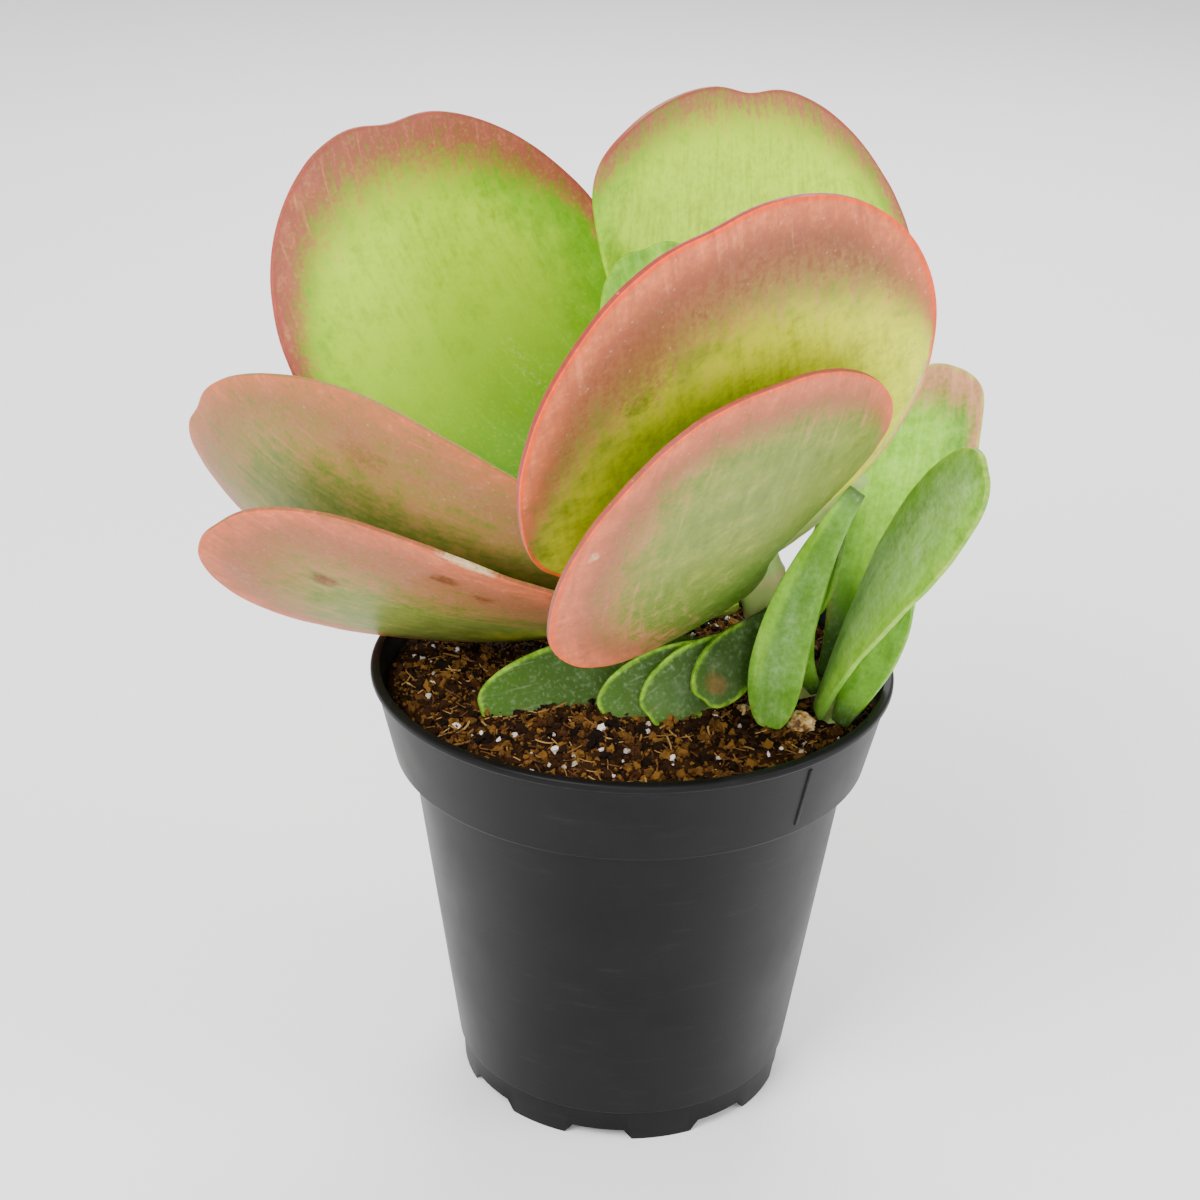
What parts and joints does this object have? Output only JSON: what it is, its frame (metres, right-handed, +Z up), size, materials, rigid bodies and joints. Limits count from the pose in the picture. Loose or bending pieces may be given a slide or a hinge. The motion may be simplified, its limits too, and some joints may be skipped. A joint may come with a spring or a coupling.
{
  "type": "potted plant",
  "caption": "Thick-leaved paddle plant with big round red-rimmed leaves and a young offset beside it, growing in soil in a black plastic nursery pot with a feet ring.",
  "frame": {"origin": "under the middle of the whole plant's bounding box, at the level the pot stands on", "axes": "+Z up, -Y the front as in the picture, +X to the right"},
  "size_m": [0.1716, 0.1824, 0.2302],
  "materials": {
    "black_plastic": "semi-matt moulded black plastic",
    "potting_soil": "loose damp peat with pale grit",
    "stem_skin": "smooth green stem",
    "dry_stub": "dry crusty stub",
    "ripe_leaf": "waxy leaf, yellow-green flushed with red",
    "young_leaf": "waxy green leaf"
  },
  "bodies": {
    "root": {"pot": "black_plastic", "soil": "potting_soil", "main_stem": "stem_skin", "offset_stem": "stem_skin", "old_stem_stub": "dry_stub", "leaf_back_left": "ripe_leaf", "leaf_back_right": "ripe_leaf", "leaf_heart": "young_leaf", "leaf_front_upper": "ripe_leaf", "leaf_front_lower": "ripe_leaf", "leaf_left_upper": "ripe_leaf", "leaf_left_lower": "ripe_leaf", "leaf_soil_1": "young_leaf", "leaf_soil_2": "young_leaf", "leaf_soil_3": "young_leaf", "leaf_soil_4": "young_leaf", "leaf_drooping_front": "young_leaf", "leaf_drooping_back": "young_leaf", "offset_leaf_tall": "young_leaf", "offset_leaf_front": "young_leaf", "offset_leaf_low": "young_leaf", "offset_leaf_rim": "young_leaf", "offset_leaf_inner": "young_leaf"}
  },
  "joints": []
}
